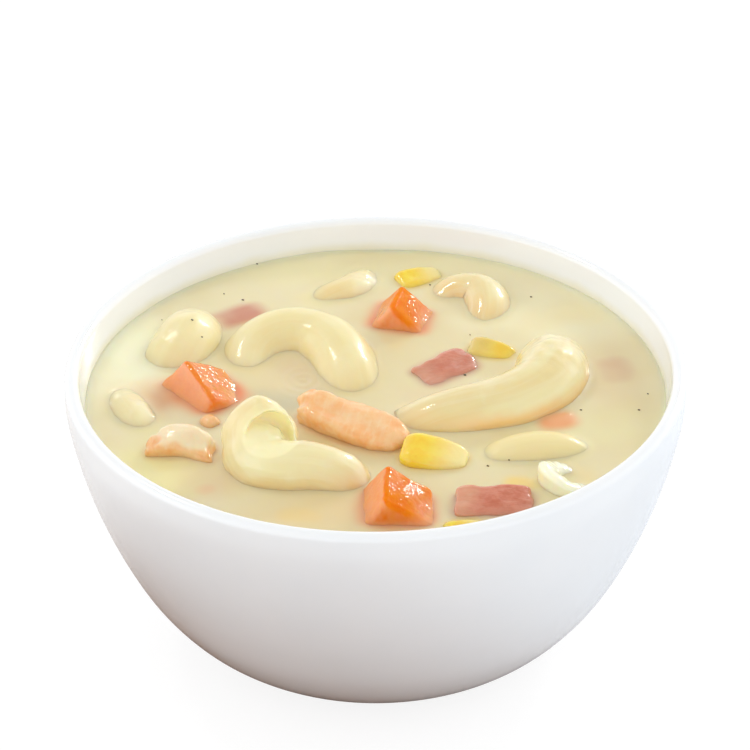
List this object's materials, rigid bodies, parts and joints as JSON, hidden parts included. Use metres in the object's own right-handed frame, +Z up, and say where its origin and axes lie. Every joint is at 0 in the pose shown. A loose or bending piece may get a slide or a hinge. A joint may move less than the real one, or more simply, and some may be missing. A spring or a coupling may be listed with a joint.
{
  "type": "bowl of chicken macaroni soup",
  "caption": "Round white bowl of creamy soup with elbow macaroni, diced carrot, corn kernels, ham and chicken pieces; free space above the soup up to the rim.",
  "frame": {"origin": "centre of the foot ring's underside, on the surface that the bowl stands on", "axes": "+Z up, +X to the viewer's right and +Y away from the viewer of the picture"},
  "size_m": [0.108, 0.108, 0.0582],
  "materials": {
    "bowl": "glossy white glaze",
    "soup": "creamy, wet and smooth",
    "macaroni": "cooked pasta, wet, with fine lengthwise lines",
    "carrot": "cooked diced carrot, wet",
    "corn": "cooked corn kernel, wet skin",
    "ham": "cured pink meat, wet",
    "chicken": "cooked chicken, fibrous and wet"
  },
  "bodies": {
    "root": {"bowl": "bowl", "soup": "soup", "macaroni_1": "macaroni", "macaroni_2": "macaroni", "macaroni_3": "macaroni", "macaroni_4": "macaroni", "macaroni_5": "macaroni", "macaroni_6": "macaroni", "macaroni_7": "macaroni", "macaroni_8": "macaroni", "macaroni_9": "macaroni", "carrot_1": "carrot", "carrot_2": "carrot", "carrot_3": "carrot", "corn_1": "corn", "corn_2": "corn", "corn_3": "corn", "corn_4": "corn", "ham_1": "ham", "ham_2": "ham", "chicken_1": "chicken", "chicken_2": "chicken"}
  },
  "joints": []
}
